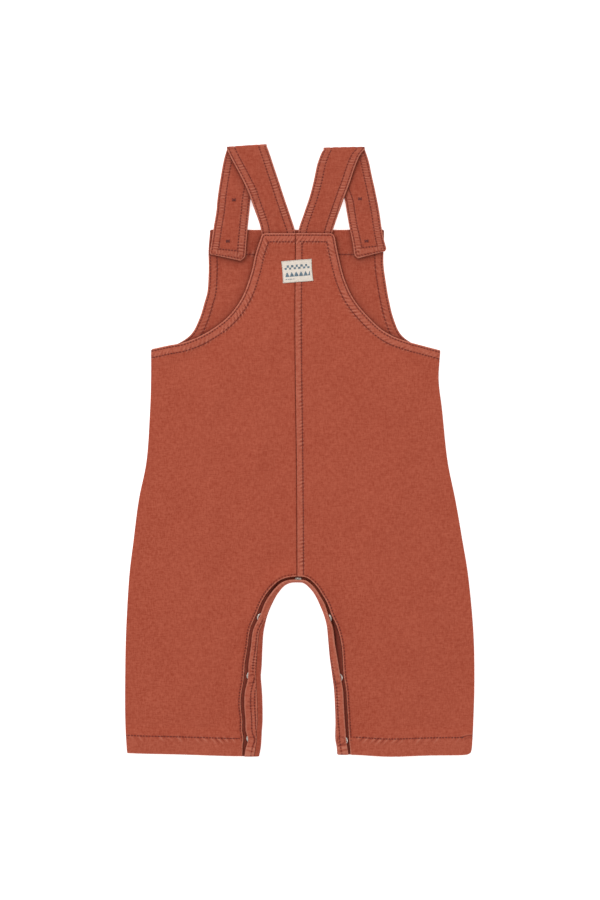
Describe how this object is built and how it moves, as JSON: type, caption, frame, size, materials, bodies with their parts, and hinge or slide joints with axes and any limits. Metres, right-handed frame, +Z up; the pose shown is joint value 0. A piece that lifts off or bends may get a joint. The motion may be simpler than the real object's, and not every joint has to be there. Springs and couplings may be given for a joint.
{
  "type": "baby overalls",
  "caption": "Sleeveless bib overalls for a baby, laid flat with the back up, with button straps and a snap opening along both inseams.",
  "frame": {"origin": "centre of the bounding box, on the surface that the overalls lie on", "axes": "+X to the right across the back, +Y from the leg hems to the shoulders, +Z up from the surface, out of the back"},
  "size_m": [0.2973, 0.5211, 0.0082],
  "materials": {
    "washed_cloth": "washed cotton twill, matt",
    "washed_band": "washed cotton twill, matt",
    "snap_metal": "nickel-plated, worn satin",
    "label_weave": "woven ribbon, matt",
    "button_plastic": "satin"
  },
  "bodies": {
    "root": {"front": "washed_cloth", "back_left": "washed_cloth", "back_right": "washed_cloth", "front_inseam_band": "washed_band", "back_inseam_band": "washed_band", "strap_left": "washed_band", "strap_right": "washed_band", "button_1": "button_plastic", "button_2": "button_plastic", "button_3": "button_plastic", "button_4": "button_plastic", "snap_1": "snap_metal", "snap_2": "snap_metal", "snap_3": "snap_metal", "snap_4": "snap_metal", "snap_5": "snap_metal", "snap_6": "snap_metal", "snap_7": "snap_metal", "label": "label_weave"}
  },
  "joints": []
}
